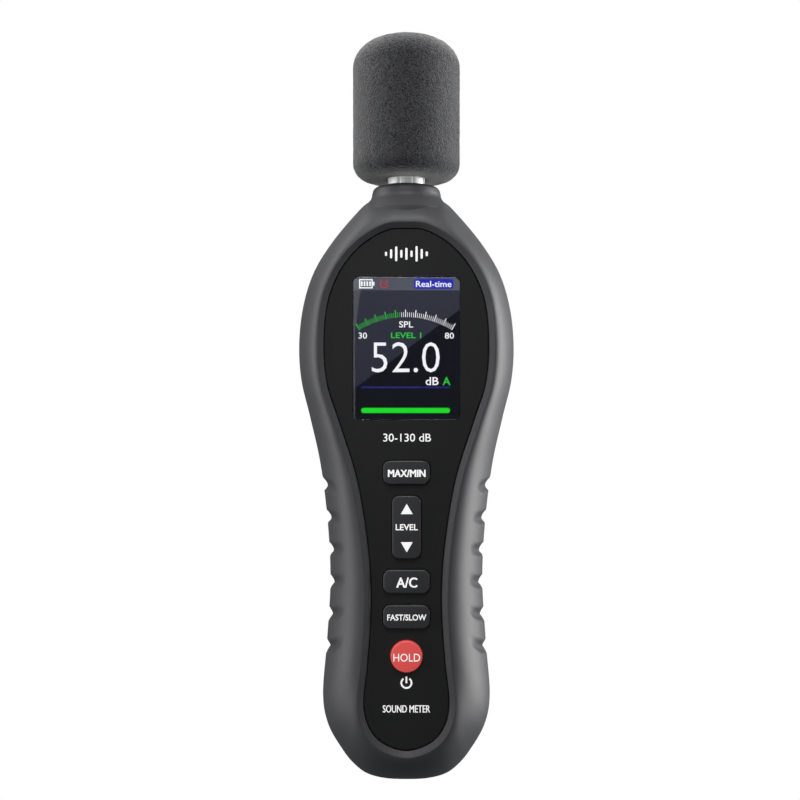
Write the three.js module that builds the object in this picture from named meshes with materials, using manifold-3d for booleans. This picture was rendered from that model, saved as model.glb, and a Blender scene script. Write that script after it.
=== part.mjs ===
// Handheld sound level meter with a foam windscreen, built as an assembly of separate pieces.
// Millimetres, +Z up. The display faces -Y and +X is its right-hand side. The origin is on the floor,
// under the middle of the case.

import * as THREE from 'three';
import { ParametricGeometry } from 'three/addons/geometries/ParametricGeometry.js';
import { mergeVertices } from 'three/addons/utils/BufferGeometryUtils.js';
import Module from 'manifold-3d';

const wasm = await Module();
wasm.setup();

// ---- driving dimensions ----

const DATUM_HEIGHT = 1;             // heights below are counted from a datum this far above the floor
const GAP = 0.3;                    // clearance between pieces that touch
const FRONT = -16;                  // foremost edge of the case, round the face plate
const BACK = 16;                    // flat back of the case
const WALL = 2;                     // wall of both case halves
const RIM_WIDTH = 1.9;              // from the edge of the face plate out to the foremost edge
const RIM_DROP = 0.8;               // how far the rim slopes back towards the face plate
const BULGE = 1.6;                  // flank of the front half: 2 is an ellipse, less is straighter
const BACK_FLAT = 0.35;             // how far the flat back reaches from the rim to the outer edge

const PLATE_FRONT = -14.8;          // face plate, let into the case
const PLATE_BACK = -13.6;
const FLOOR_FRONT = -13.3;          // wall of the case behind the face plate
const FLOOR_BACK = -11.5;
const BOARD_FRONT = -5.7;
const BOARD_BACK = -4.1;

const COLLAR_RADIUS = 10.43;
const COLLAR_TOP = 174.4;
const COLLAR_BORE = 8.2;

const TUBE_RADIUS = 5.5;
const TUBE_BORE = 5;
const TUBE_LOW = 158;
const TUBE_TOP = 206;

const FOAM_RADIUS = 15.9;
const FOAM_LOW = 176.6;
const FOAM_TOP = 218.6;

const SCREEN = { width: 30.4, height: 40.7, radius: 1.6, z: 126 };

const KEY_FRONT = -15.8;            // keys stand 1 mm above the face plate
const KEY_TRAVEL = 0.5;
const KEYS = {
  key_max_min: { width: 13.65, height: 7.16, radius: 2.3, z: 90.7 },
  key_level: { width: 8.55, height: 18.3, radius: 2.2, z: 75.15 },
  key_weighting: { width: 13.65, height: 7.16, radius: 2.3, z: 59.7 },
  key_response: { width: 13.65, height: 7.16, radius: 2.3, z: 49.7 },
  key_hold: { width: 9.4, height: 9.4, radius: 4.69, z: 38.4 },
};
const LEVEL_REACH = 5.6;            // from the middle of the level key to each of its two switches
const STEM_BACK = -9.9;             // end of the stem behind a key
const SWITCH_TIP = STEM_BACK + KEY_TRAVEL + GAP;

const NOTCHES = { count: 6, low: 37.8, pitch: 9.66, depth: 1.35, rise: 2.3, fall: 1.6 };

const CELL = { radius: 5.25, length: 44.5, pitch: 11.2, y: 8.6 };
const BAY = { half: 16.8, low: 21.5, high: 71.5, floor: 2.9, wall: 1.5 };
const DOOR = { half: 17.5, low: 19.8, high: 74.7, thick: 1.8, tab_x: 5, tab_width: 5 };

const PILLAR_RADIUS = 3.2;          // screw pillars inside the front half
const PILLAR_BORE = 1.8;
const UPPER_PILLAR = -12.5;         // where the pillars stand on the wall
const LOWER_PILLAR = -10.4;
const SOCKET_RADIUS = 4.4;          // screw sockets in the back half
const SUNK_RADIUS = 3.2;            // open well above a screw head
const BOARD_POST = 2.4;             // posts that carry the circuit board
const CASE_SCREWS = [[-23.5, 140], [23.5, 140], [-12.5, 13], [12.5, 13]];
const BOARD_SCREWS = [[-15.5, 97], [15.5, 97], [-8, 24], [8, 24]];
const TRIPOD_Z = 92;
const THREAD_RADIUS = 3;            // tripod thread, between its crests and its roots

const OUTLINE_STEPS = 52;

// ---- outlines: right-hand halves from the base up, at mid depth and at the face plate ----

const caseEdge = new THREE.SplineCurve([
  [0, -1], [6.2, -0.8], [11.6, 0.5], [15.4, 3.2], [18.8, 7.2], [23.2, 14.8], [24.8, 24], [23.6, 40],
  [22.6, 58], [23.4, 75], [25.5, 92], [28.5, 105.7], [31.2, 117], [31.9, 127.5], [30.8, 138.5],
  [27.7, 148.8], [22.2, 157.9], [14.8, 166.8], [11, 170.2], [6, 172], [0, 172.4],
].map(([x, z]) => new THREE.Vector2(x, z)));

const plateEdge = new THREE.SplineCurve([
  [0, 11.7], [6.6, 13.8], [10.5, 18.3], [12, 25.2], [10.8, 37], [9.8, 54], [10.8, 70.5],
  [13.9, 89], [18.9, 105], [22.4, 116], [23.3, 127.5], [22.2, 139.2], [18.5, 148.3],
  [12.8, 155.1], [5.8, 159.3], [0, 159.9],
].map(([x, z]) => new THREE.Vector2(x, z)));

function outlinePoint(curve, u, inset) {
  // u runs once round the closed outline, up the right side and down the mirrored left side
  const side = u <= 0.5 ? 1 : -1;
  const along = u <= 0.5 ? 2 * u : 2 - 2 * u;
  const point = curve.getPointAt(along);
  const tangent = curve.getTangentAt(along);
  const onAxis = along < 1e-6 || along > 1 - 1e-6;
  const x = onAxis ? 0 : Math.max(point.x - tangent.y * inset, 0);
  return [side * x, point.y + (onAxis ? Math.sign(0.5 - along) * inset : tangent.x * inset)];
}

function betweenOutlines(u, share, inset) {
  // share 0 is the rim round the face plate, share 1 the widest edge of the case
  const [rimX, rimZ] = outlinePoint(plateEdge, u, inset - RIM_WIDTH);
  const [edgeX, edgeZ] = outlinePoint(caseEdge, u, inset);
  return [rimX + (edgeX - rimX) * share, rimZ + (edgeZ - rimZ) * share];
}

function outlineShape(curve, inset, steps) {
  const points = [];
  for (let i = 0; i < steps; i += 1) {
    const [x, z] = outlinePoint(curve, i / steps, inset);
    points.push(new THREE.Vector2(x, z));
  }
  return new THREE.Shape(points);
}

// ---- geometry helpers ----

function loft(rows, steps = OUTLINE_STEPS) {
  const place = (u, v, target) => {
    const row = rows[Math.round(v * (rows.length - 1))];
    const [x, z] = row.outline(Math.round(u * steps) / steps);
    target.set(x, row.y, z);
  };
  return new ParametricGeometry(place, steps, rows.length - 1);
}

function solid(geometry) {
  const bare = geometry.clone();
  bare.deleteAttribute('normal');
  bare.deleteAttribute('uv');
  const merged = mergeVertices(bare, 1e-3);
  const corners = merged.index.array;
  const triangles = [];
  for (let i = 0; i < corners.length; i += 3) {
    const [a, b, c] = corners.slice(i, i + 3);
    if (a !== b && b !== c && c !== a) {
      triangles.push(a, b, c);
    }
  }
  return new wasm.Manifold(new wasm.Mesh({
    numProp: 3,
    vertProperties: merged.attributes.position.array,
    triVerts: new Uint32Array(triangles),
  }));
}

function geometryOf(cut) {
  const mesh = cut.getMesh();
  const geometry = new THREE.BufferGeometry();
  geometry.setAttribute('position', new THREE.BufferAttribute(mesh.vertProperties, 3));
  geometry.setIndex(new THREE.BufferAttribute(mesh.triVerts, 1));
  return geometry;
}

function block(x0, x1, y0, y1, z0, z1) {
  const box = new THREE.BoxGeometry(x1 - x0, y1 - y0, z1 - z0);
  return box.translate((x0 + x1) / 2, (y0 + y1) / 2, (z0 + z1) / 2);
}

function rodAlongY(radius, y0, y1, x, z, sides = 10) {
  const rod = new THREE.CylinderGeometry(radius, radius, y1 - y0, sides);
  return rod.translate(x, (y0 + y1) / 2, z);
}

function slab(shape, y0, y1, curveSegments = 2) {
  const sheet = new THREE.ExtrudeGeometry(shape, { depth: y1 - y0, bevelEnabled: false, curveSegments });
  return sheet.rotateX(Math.PI / 2).translate(0, y1, 0);
}

function turnedProfile(pairs, sides = 18) {
  // a profile of [radius, z] pairs, turned about Z
  const lathe = new THREE.LatheGeometry(pairs.map(([r, z]) => new THREE.Vector2(r, z)), sides);
  return lathe.rotateX(Math.PI / 2);
}

function turnedAboutY(pairs, x, z, sides = 10) {
  // a profile of [radius, y] pairs, turned about an axis along Y
  const lathe = new THREE.LatheGeometry(pairs.map(([r, y]) => new THREE.Vector2(r, y)), sides);
  return lathe.translate(x, 0, z);
}

function roundedRect(width, height, radius, z = 0, x = 0) {
  const right = x + width / 2 - radius;
  const left = x - width / 2 + radius;
  const top = z + height / 2 - radius;
  const low = z - height / 2 + radius;
  const shape = new THREE.Shape();
  shape.absarc(right, top, radius, 0, Math.PI / 2);
  shape.absarc(left, top, radius, Math.PI / 2, Math.PI);
  shape.absarc(left, low, radius, Math.PI, 1.5 * Math.PI);
  shape.absarc(right, low, radius, 1.5 * Math.PI, 2 * Math.PI);
  shape.closePath();
  return shape;
}

function tube(points, radius, steps, sides = 6) {
  const ring = new THREE.Shape();
  ring.absarc(0, 0, radius, 0, 2 * Math.PI);
  const path = new THREE.CatmullRomCurve3(points.map(([x, y, z]) => new THREE.Vector3(x, y, z)));
  return new THREE.ExtrudeGeometry(ring, { steps, extrudePath: path, curveSegments: sides / 2 });
}

// ---- materials ----

function finish(color, roughness, metalness = 0) {
  return new THREE.MeshStandardMaterial({ color, roughness, metalness });
}

const finishes = {
  casing: () => finish('#4b4b4d', 0.55),
  plate: () => finish('#262627', 0.45),
  clear: () => finish('#20242c', 0.1),
  key: () => finish('#333334', 0.6),
  red: () => finish('#d25753', 0.5),
  foam: () => finish('#333335', 0.98),
  steel: () => finish('#d5d6d6', 0.25, 1),
  tin: () => finish('#b9b9b5', 0.35, 1),
  brass: () => finish('#b8944f', 0.35, 1),
  board: () => finish('#1d5b38', 0.5),
  black: () => finish('#1b1b1c', 0.6),
  rubber: () => finish('#222222', 0.85),
  cell: () => finish('#7a8a55', 0.4),
};

const meter = new THREE.Group();
meter.position.z = DATUM_HEIGHT;

function add(name, geometry, look) {
  const mesh = new THREE.Mesh(geometry, finishes[look]());
  mesh.name = name;
  meter.add(mesh);
}

// ---- case ----

function caseHalf(facing, wall) {
  // one half of the case as a filled solid: facing -1 is the front, +1 the back; wall insets it
  const reach = (facing < 0 ? -FRONT : BACK) - wall;
  const start = facing < 0 ? 0 : BACK_FLAT;
  const drop = facing < 0 && wall === 0 ? RIM_DROP : 0;
  const rows = [
    { outline: (u) => [0, outlinePoint(plateEdge, u, wall)[1]], y: facing * (reach - drop) },
    { outline: (u) => outlinePoint(plateEdge, u, wall), y: facing * (reach - drop) },
  ];
  const power = facing < 0 ? 2 / BULGE : 1;
  const arcs = wall === 0 ? 5 : 3;
  for (let i = 0; i <= arcs; i += 1) {
    const angle = (i / arcs) * (Math.PI / 2);
    const share = start + (1 - start) * Math.sin(angle) ** power;
    const depth = reach * Math.cos(angle) ** power;
    rows.push({ outline: (u) => betweenOutlines(u, share, wall), y: facing * depth });
  }
  rows.push({ outline: (u) => [0, outlinePoint(caseEdge, u, wall)[1]], y: 0 });
  return solid(loft(facing < 0 ? rows.reverse() : rows));
}

function collar() {
  const round = 1.2;
  return solid(turnedProfile([
    [0, 160], [13.4, 160], [13.4, 168.9], [12.1, 170.3], [11.2, 172.1], [COLLAR_RADIUS, 173],
    [COLLAR_RADIUS, COLLAR_TOP - round],
    [COLLAR_RADIUS - round * 0.3, COLLAR_TOP - round * 0.3], [COLLAR_RADIUS - round, COLLAR_TOP],
    [0, COLLAR_TOP],
  ], 32));
}

function micPassage() {
  // the grommet's seat in the collar, opening into the hollow of the case
  return solid(turnedProfile([
    [0, 159], [9.3, 159], [9.3, 168.8], [COLLAR_BORE, 169.7], [COLLAR_BORE, COLLAR_TOP + 1],
    [0, COLLAR_TOP + 1],
  ], 24));
}

function gripNotches() {
  // shallow V cuts up both sides of the grip
  const cuts = [];
  for (let i = 0; i < NOTCHES.count; i += 1) {
    const z = NOTCHES.low + i * NOTCHES.pitch;
    const nearest = caseEdge.getPoints(200).reduce((best, point) => (
      Math.abs(point.y - z) < Math.abs(best.y - z) ? point : best));
    for (const side of [-1, 1]) {
      const outside = nearest.x + 1;
      const rise = NOTCHES.rise * (1 + 1 / NOTCHES.depth);
      const fall = NOTCHES.fall * (1 + 1 / NOTCHES.depth);
      const wedge = new THREE.Shape([
        new THREE.Vector2(side * (nearest.x - NOTCHES.depth), z),
        new THREE.Vector2(side * outside, z + rise),
        new THREE.Vector2(side * outside, z - fall),
      ]);
      cuts.push(solid(slab(wedge, -12, 12)));
    }
  }
  return cuts;
}

const interior = caseHalf(-1, WALL).add(caseHalf(1, WALL)).add(micPassage());
const notches = gripNotches();

function hollowHalf(facing) {
  let shell = caseHalf(facing, 0).add(collar());
  const keep = facing < 0 ? block(-40, 40, -20, -GAP / 2, -5, 180) : block(-40, 40, GAP / 2, 20, -5, 180);
  shell = shell.intersect(solid(keep)).subtract(interior);
  for (const notch of notches) {
    shell = shell.subtract(notch);
  }
  return shell;
}

function frontHousing() {
  let shell = hollowHalf(-1);
  shell = shell.add(solid(slab(outlineShape(plateEdge, -1.5, 32), -14.3, FLOOR_BACK)));
  shell = shell.subtract(solid(slab(outlineShape(plateEdge, -GAP, OUTLINE_STEPS), -17, FLOOR_FRONT)));
  const opening = roundedRect(SCREEN.width - 0.4, SCREEN.height - 0.4, SCREEN.radius, SCREEN.z);
  shell = shell.subtract(solid(slab(opening, -15, -10)));
  for (const key of Object.values(KEYS)) {
    shell = shell.subtract(solid(slab(roundedRect(key.width, key.height, key.radius, key.z), -15, -10)));
  }
  for (const [x, z] of CASE_SCREWS) {
    const foot = z > TRIPOD_Z ? UPPER_PILLAR : LOWER_PILLAR;
    shell = shell.add(solid(rodAlongY(PILLAR_RADIUS, foot, -GAP, x, z)));
    shell = shell.subtract(solid(rodAlongY(PILLAR_BORE, -9, 1, x, z, 8)));
  }
  for (const [x, z] of BOARD_SCREWS) {
    shell = shell.add(solid(rodAlongY(BOARD_POST, -12, BOARD_FRONT - GAP, x, z)));
    shell = shell.subtract(solid(rodAlongY(1.3, -10, 0, x, z, 8)));
  }
  return shell;
}

function bayTray() {
  // open box for the cells, moulded inside the rear half
  const outer = solid(block(-BAY.half - BAY.wall, BAY.half + BAY.wall, BAY.floor - BAY.wall, BACK - 1,
    BAY.low - BAY.wall, BAY.high + BAY.wall));
  return outer.intersect(caseHalf(1, 0.5));
}

function rearHousing() {
  let shell = hollowHalf(1).add(bayTray());
  shell = shell.subtract(solid(block(-BAY.half, BAY.half, BAY.floor, BACK + 1, BAY.low, BAY.high)));
  shell = shell.subtract(solid(block(-DOOR.half - GAP, DOOR.half + GAP, BACK - DOOR.thick - GAP, BACK + 1,
    DOOR.low - GAP, DOOR.high + GAP)));
  for (const side of [-1, 1]) {
    const x = side * DOOR.tab_x;
    const half = DOOR.tab_width / 2 + GAP;
    shell = shell.subtract(solid(block(x - half, x + half, 11.2, 14.1, 16.9, 23.3)));
  }
  shell = shell.add(solid(rodAlongY(7, 6.5, BACK - 0.5, 0, TRIPOD_Z, 24)));
  shell = shell.subtract(solid(rodAlongY(4.8, 7.7, BACK + 1, 0, TRIPOD_Z, 24)));
  for (const [x, z] of CASE_SCREWS) {
    shell = shell.add(solid(rodAlongY(SOCKET_RADIUS, GAP, BACK - 1.2, x, z)));
    shell = shell.subtract(solid(rodAlongY(PILLAR_BORE, -1, 10, x, z, 8)));
    shell = shell.subtract(solid(rodAlongY(SUNK_RADIUS, 9, BACK + 1, x, z)));
  }
  return shell;
}

function batteryDoor() {
  const slice = block(-DOOR.half, DOOR.half, 10, BACK + 1, DOOR.low, DOOR.high);
  let door = caseHalf(1, 0).subtract(caseHalf(1, DOOR.thick)).intersect(solid(slice));
  door = door.intersect(solid(block(-DOOR.half, DOOR.half, BACK - DOOR.thick - 0.01, BACK + 1, 0, 90)));
  for (const side of [-1, 1]) {
    const x = side * DOOR.tab_x;
    const half = DOOR.tab_width / 2;
    door = door.add(solid(block(x - half, x + half, 12.4, 13.8, 17.3, 22)));
    door = door.add(solid(block(x - half, x + half, 12.4, 15, DOOR.low, 22)));
  }
  for (let i = 0; i < 5; i += 1) {
    door = door.subtract(solid(block(-6, 6, BACK - 0.5, BACK + 1, 65 + i * 1.6, 65.8 + i * 1.6)));
  }
  return door;
}

add('front_housing', geometryOf(frontHousing()), 'casing');
add('rear_housing', geometryOf(rearHousing()), 'casing');
add('battery_door', geometryOf(batteryDoor()), 'casing');

// ---- face plate and display ----

function facePlate() {
  const shape = outlineShape(plateEdge, 0, OUTLINE_STEPS);
  shape.holes.push(roundedRect(SCREEN.width + 0.5, SCREEN.height + 0.5, SCREEN.radius + 0.25, SCREEN.z));
  for (const key of Object.values(KEYS)) {
    shape.holes.push(roundedRect(key.width, key.height, key.radius, key.z));
  }
  return slab(shape, PLATE_FRONT, PLATE_BACK);
}

function screenFrame(width, height, border, y0, y1) {
  const shape = roundedRect(width, height, 1, SCREEN.z);
  shape.holes.push(roundedRect(width - 2 * border, height - 2 * border, 0.5, SCREEN.z));
  return slab(shape, y0, y1, 1);
}

add('face_plate', facePlate(), 'plate');
add('display_window', slab(roundedRect(SCREEN.width, SCREEN.height, SCREEN.radius, SCREEN.z),
  PLATE_FRONT, PLATE_BACK), 'clear');
add('display_panel', slab(roundedRect(SCREEN.width - 1, SCREEN.height - 1, 1, SCREEN.z), -13.3, -10.6),
  'clear');
add('display_gasket', screenFrame(37, 48, 3.1, -11.2, -10.6), 'rubber');
add('display_frame', slab(roundedRect(36, 47, 1, SCREEN.z), -10.3, -7.3, 1), 'tin');

// ---- keys and their switches ----

function keyCap(key, flangeFront, stems) {
  // a cap that comes through the face plate, a flange that keeps it in, and a stem for each switch
  const round = 0.35;
  const inset = 2 * (GAP + round);
  const face = roundedRect(key.width - inset, key.height - inset, key.radius - GAP - round, key.z);
  const cap = new THREE.ExtrudeGeometry(face, {
    depth: flangeFront - KEY_FRONT - round + 0.2,
    bevelThickness: round,
    bevelSize: round,
    bevelSegments: 1,
    curveSegments: 2,
  });
  let piece = solid(cap.rotateX(Math.PI / 2).translate(0, flangeFront + 0.2, 0));
  const flange = roundedRect(key.width + 2, key.height + 1.2, key.radius + 0.5, key.z);
  piece = piece.add(solid(slab(flange, flangeFront, flangeFront + 0.8)));
  for (const z of stems) {
    piece = piece.add(solid(rodAlongY(2, flangeFront, STEM_BACK, 0, z, 8)));
  }
  return piece;
}

function tactSwitch(z) {
  const base = solid(block(-3, 3, -7.8, BOARD_FRONT - GAP, z - 3, z + 3));
  return base.add(solid(rodAlongY(1.7, SWITCH_TIP, -7, 0, z, 8)));
}

for (const [name, key] of Object.entries(KEYS)) {
  const rocker = name === 'key_level';
  const stems = rocker ? [key.z - LEVEL_REACH, key.z + LEVEL_REACH] : [key.z];
  const flangeFront = rocker ? FLOOR_BACK + 0.6 : FLOOR_BACK + GAP;
  add(name, geometryOf(keyCap(key, flangeFront, stems)), name === 'key_hold' ? 'red' : 'key');
}

add('switch_max_min', geometryOf(tactSwitch(KEYS.key_max_min.z)), 'black');
add('switch_level_up', geometryOf(tactSwitch(KEYS.key_level.z + LEVEL_REACH)), 'black');
add('switch_level_down', geometryOf(tactSwitch(KEYS.key_level.z - LEVEL_REACH)), 'black');
add('switch_weighting', geometryOf(tactSwitch(KEYS.key_weighting.z)), 'black');
add('switch_response', geometryOf(tactSwitch(KEYS.key_response.z)), 'black');
add('switch_hold', geometryOf(tactSwitch(KEYS.key_hold.z)), 'black');

// ---- circuit board ----

function mainBoard() {
  let board = solid(slab(outlineShape(caseEdge, 4.4, 36), BOARD_FRONT, BOARD_BACK));
  board = board.intersect(solid(block(-40, 40, -10, 0, 10, 155)));
  for (const [x, z] of CASE_SCREWS) {
    board = board.subtract(solid(rodAlongY(3.8, -7, -3, x, z)));
    board = board.subtract(solid(block(Math.min(x, 2 * x), Math.max(x, 2 * x), -7, -3, z - 3.8, z + 3.8)));
  }
  for (const [x, z] of BOARD_SCREWS) {
    board = board.subtract(solid(rodAlongY(1.4, -7, -3, x, z, 8)));
  }
  return board;
}

add('main_board', geometryOf(mainBoard()), 'board');
add('processor_chip', block(-6, 4, BOARD_BACK + GAP, BOARD_BACK + 1.8, 104, 114), 'black');
add('buzzer', rodAlongY(6, BOARD_BACK + GAP, BOARD_BACK + 4.6, 13, 112, 20), 'black');

// ---- microphone and windscreen ----

function micGrille() {
  const disc = new THREE.Shape();
  disc.absarc(0, 0, TUBE_RADIUS, 0, 2 * Math.PI);
  for (let i = 0; i < 6; i += 1) {
    const angle = (i * Math.PI) / 3;
    const hole = new THREE.Path();
    hole.absarc(3.1 * Math.cos(angle), 3.1 * Math.sin(angle), 1, 0, 2 * Math.PI);
    disc.holes.push(hole);
  }
  const plate = new THREE.ExtrudeGeometry(disc, { depth: 1, bevelEnabled: false, curveSegments: 6 });
  return plate.translate(0, 0, TUBE_TOP + GAP);
}

function windscreen() {
  // foam cylinder with a wide domed top, a rounded lower edge and a blind bore for the tube
  const bore = TUBE_RADIUS + GAP;
  const boreTop = TUBE_TOP + 1.6;
  const pairs = [[0, boreTop], [bore, boreTop], [bore, FOAM_LOW + 1.2], [bore + 0.4, FOAM_LOW + 0.4],
    [bore + 1.2, FOAM_LOW]];
  const lowRound = 4.9;
  const topRound = { x: 11.2, z: 8.6 };
  for (let i = 0; i <= 4; i += 1) {
    const angle = -Math.PI / 2 + (i / 4) * (Math.PI / 2);
    pairs.push([FOAM_RADIUS - lowRound + lowRound * Math.cos(angle),
      FOAM_LOW + lowRound + lowRound * Math.sin(angle)]);
  }
  for (let i = 0; i <= 6; i += 1) {
    const angle = (i / 6) * (Math.PI / 2);
    pairs.push([FOAM_RADIUS - topRound.x + topRound.x * Math.cos(angle),
      FOAM_TOP - topRound.z + topRound.z * Math.sin(angle)]);
  }
  pairs.push([0, FOAM_TOP]);
  return turnedProfile(pairs, 28);
}

add('mic_tube', turnedProfile([
  [TUBE_BORE, TUBE_LOW], [TUBE_RADIUS, TUBE_LOW], [TUBE_RADIUS, 166.6], [8.8, 166.6], [8.8, 168.4],
  [TUBE_RADIUS, 168.4], [TUBE_RADIUS, TUBE_TOP], [TUBE_BORE, TUBE_TOP], [TUBE_BORE, TUBE_LOW],
]), 'steel');
add('mic_grommet', turnedProfile([
  [TUBE_RADIUS + GAP, 170], [COLLAR_BORE - GAP, 170], [COLLAR_BORE - GAP, 173.8],
  [TUBE_RADIUS + GAP, 173.8], [TUBE_RADIUS + GAP, 170],
]), 'rubber');
add('mic_capsule', turnedProfile([[0, 199], [4.7, 199], [4.7, 205.6], [0, 205.6]]), 'tin');
add('mic_grille', micGrille(), 'steel');
add('mic_lead', tube([[0, 0, 198.6], [0, 0, 185], [0, 0, 170], [0, 0, 160], [0, -1.6, 154.5],
  [0, -2.9, 150], [0, -2.9, 146]], 0.8, 16), 'black');
add('windscreen', windscreen(), 'foam');

// ---- battery supply ----

function cell(x, upsideDown) {
  const { radius, length } = CELL;
  const profile = [[0, 0], [radius - 0.6, 0], [radius, 0.5], [radius, length - 1.3],
    [radius - 0.7, length - 0.9], [1.9, length - 0.9], [1.9, length], [0, length]];
  const body = turnedProfile(profile, 16);
  if (upsideDown) {
    return body.rotateX(Math.PI).translate(x, CELL.y, BAY.low + 1 + length);
  }
  return body.translate(x, CELL.y, BAY.high - 1 - length);
}

function spring(x, low) {
  const turns = 3;
  const points = [];
  for (let i = 0; i <= turns * 8; i += 1) {
    const share = i / (turns * 8);
    const angle = share * turns * 2 * Math.PI;
    const radius = 3.4 - 1.2 * share;
    points.push([x + radius * Math.cos(angle), CELL.y + radius * Math.sin(angle), low + 2.4 * share]);
  }
  return tube(points, 0.3, 24);
}

function contactPlate(x0, x1, z) {
  return block(x0, x1, 4.2, 10.8, z - 0.2, z + 0.2);
}

for (const [index, place] of [-1, 0, 1].entries()) {
  add(`battery_cell_${index + 1}`, cell(place * CELL.pitch, place === 0), 'cell');
  const low = place === 0 ? 67.7 : 22.9;
  add(`battery_spring_${index + 1}`, spring(place * CELL.pitch, low), 'tin');
}
add('contact_negative', contactPlate(-15.5, -7, 22), 'tin');
add('contact_lower_bridge', contactPlate(-4.5, 15.5, 22), 'tin');
add('contact_upper_bridge', contactPlate(-15.5, 4.5, 71), 'tin');
add('contact_positive', contactPlate(7, 15.5, 71), 'tin');
add('lead_negative', tube([[-6.6, 5, 19.2], [-6, 4, 18.2], [-4.6, 0, 17], [-4, -3.2, 18]], 0.55, 10),
  'black');
add('lead_positive', tube([[11.2, 5, 73.6], [11.2, 4.6, 76], [11, 0, 79], [10, -3.2, 80.5]], 0.55, 10),
  'red');

// ---- tripod insert and screws ----

add('tripod_insert', turnedAboutY([[0, 8], [4.5, 8], [4.5, 15.8], [THREAD_RADIUS, 15.8],
  [THREAD_RADIUS, 9.2], [0, 9.2]], 0, TRIPOD_Z, 24), 'brass');

for (const [index, [x, z]] of CASE_SCREWS.entries()) {
  add(`housing_screw_${index + 1}`, turnedAboutY([[0, -7], [1.5, -7], [1.5, 9.3], [2.8, 9.3], [2.8, 10.6],
    [1.9, 11.3], [1.1, 11.3], [1.1, 10.2], [0, 10.2]], x, z, 10), 'steel');
}

for (const [index, [x, z]] of BOARD_SCREWS.entries()) {
  add(`board_screw_${index + 1}`, turnedAboutY([[0, -9.5], [1, -9.5], [1, BOARD_BACK + GAP],
    [2.2, BOARD_BACK + GAP], [2.2, BOARD_BACK + 1.6], [0, BOARD_BACK + 1.6]], x, z, 8), 'steel');
}

export default meter;
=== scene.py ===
# Handheld sound level meter with a foam windscreen: its finished pieces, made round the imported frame.
# Metres, +Z up. The display faces -Y and +X is its right-hand side.

import math
import bmesh
import bpy
import numpy
from mathutils import Color, Matrix, Vector, noise
from mathutils.geometry import interpolate_bezier


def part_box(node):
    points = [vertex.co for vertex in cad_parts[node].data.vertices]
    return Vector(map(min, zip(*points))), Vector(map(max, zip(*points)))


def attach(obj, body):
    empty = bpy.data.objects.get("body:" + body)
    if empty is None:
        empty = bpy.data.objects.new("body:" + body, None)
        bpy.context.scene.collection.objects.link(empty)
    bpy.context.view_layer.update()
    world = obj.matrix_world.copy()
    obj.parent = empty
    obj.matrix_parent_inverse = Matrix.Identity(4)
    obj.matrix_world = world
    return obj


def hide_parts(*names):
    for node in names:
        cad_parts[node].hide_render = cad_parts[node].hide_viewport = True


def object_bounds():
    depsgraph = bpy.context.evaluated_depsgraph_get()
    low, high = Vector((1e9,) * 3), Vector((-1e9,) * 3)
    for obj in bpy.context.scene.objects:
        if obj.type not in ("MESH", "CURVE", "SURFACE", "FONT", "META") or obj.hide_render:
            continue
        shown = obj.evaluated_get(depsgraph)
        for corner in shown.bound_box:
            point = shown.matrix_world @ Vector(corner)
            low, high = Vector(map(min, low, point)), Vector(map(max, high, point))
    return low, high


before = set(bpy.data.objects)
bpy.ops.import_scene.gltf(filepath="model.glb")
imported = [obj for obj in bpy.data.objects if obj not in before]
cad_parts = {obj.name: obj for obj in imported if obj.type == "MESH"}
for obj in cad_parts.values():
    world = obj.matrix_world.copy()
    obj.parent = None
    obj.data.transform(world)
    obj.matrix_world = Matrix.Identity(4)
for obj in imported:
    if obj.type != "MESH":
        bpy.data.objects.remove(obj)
cad_low, cad_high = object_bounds()
mm = 0.001

# ---- camera ----
# A level camera in front of the display, close enough that the sides of the case fall away from view.

camera = bpy.data.objects.new("camera", bpy.data.cameras.new("camera"))
camera.data.lens = 50
camera.data.sensor_width = 36
camera.data.shift_x = -0.008
camera.location = (0, -331 * mm, 112.3 * mm)
camera.rotation_euler = (math.radians(90), 0, 0)
bpy.context.scene.collection.objects.link(camera)
bpy.context.scene.camera = camera

# ---- studio ----
# A white sweep that only the camera sees, and softboxes round the sides, so that a dark object keeps
# its dark front and its edges are drawn by long soft highlights.

bpy.context.scene.view_settings.view_transform = "Standard"

floor_shape = bmesh.new()
bmesh.ops.create_grid(floor_shape, x_segments=1, y_segments=1, size=6)
bmesh.ops.translate(floor_shape, verts=floor_shape.verts, vec=(0, 0, cad_low.z - 0.2 * mm))
floor_mesh = bpy.data.meshes.new("floor")
floor_shape.to_mesh(floor_mesh)
floor_shape.free()
floor = bpy.data.objects.new("floor", floor_mesh)
bpy.context.scene.collection.objects.link(floor)
white_paper = bpy.data.materials.new("white_paper")
white_paper.use_nodes = True
paper = white_paper.node_tree.nodes["Principled BSDF"]
for socket, value in {"Base Color": (0, 0, 0, 1), "Specular IOR Level": 0,
                      "Emission Color": (1, 1, 1, 1), "Emission Strength": 1}.items():
    paper.inputs[socket].default_value = value
floor_mesh.materials.append(white_paper)
floor.visible_diffuse = False
floor.visible_glossy = False
floor.visible_transmission = False
floor.visible_shadow = False

studio = bpy.data.worlds.new("studio")
studio.use_nodes = True
bpy.context.scene.world = studio
sky = studio.node_tree
room = sky.nodes["Background"]
room.inputs["Color"].default_value = (0.9, 0.95, 1, 1)
room.inputs["Strength"].default_value = 0.12
sweep = sky.nodes.new("ShaderNodeBackground")
sweep.inputs["Color"].default_value = (1, 1, 1, 1)
seen = sky.nodes.new("ShaderNodeLightPath")
choice = sky.nodes.new("ShaderNodeMixShader")
sky.links.new(seen.outputs["Is Camera Ray"], choice.inputs["Fac"])
sky.links.new(room.outputs["Background"], choice.inputs[1])
sky.links.new(sweep.outputs["Background"], choice.inputs[2])
sky.links.new(choice.outputs["Shader"], sky.nodes["World Output"].inputs["Surface"])


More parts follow.
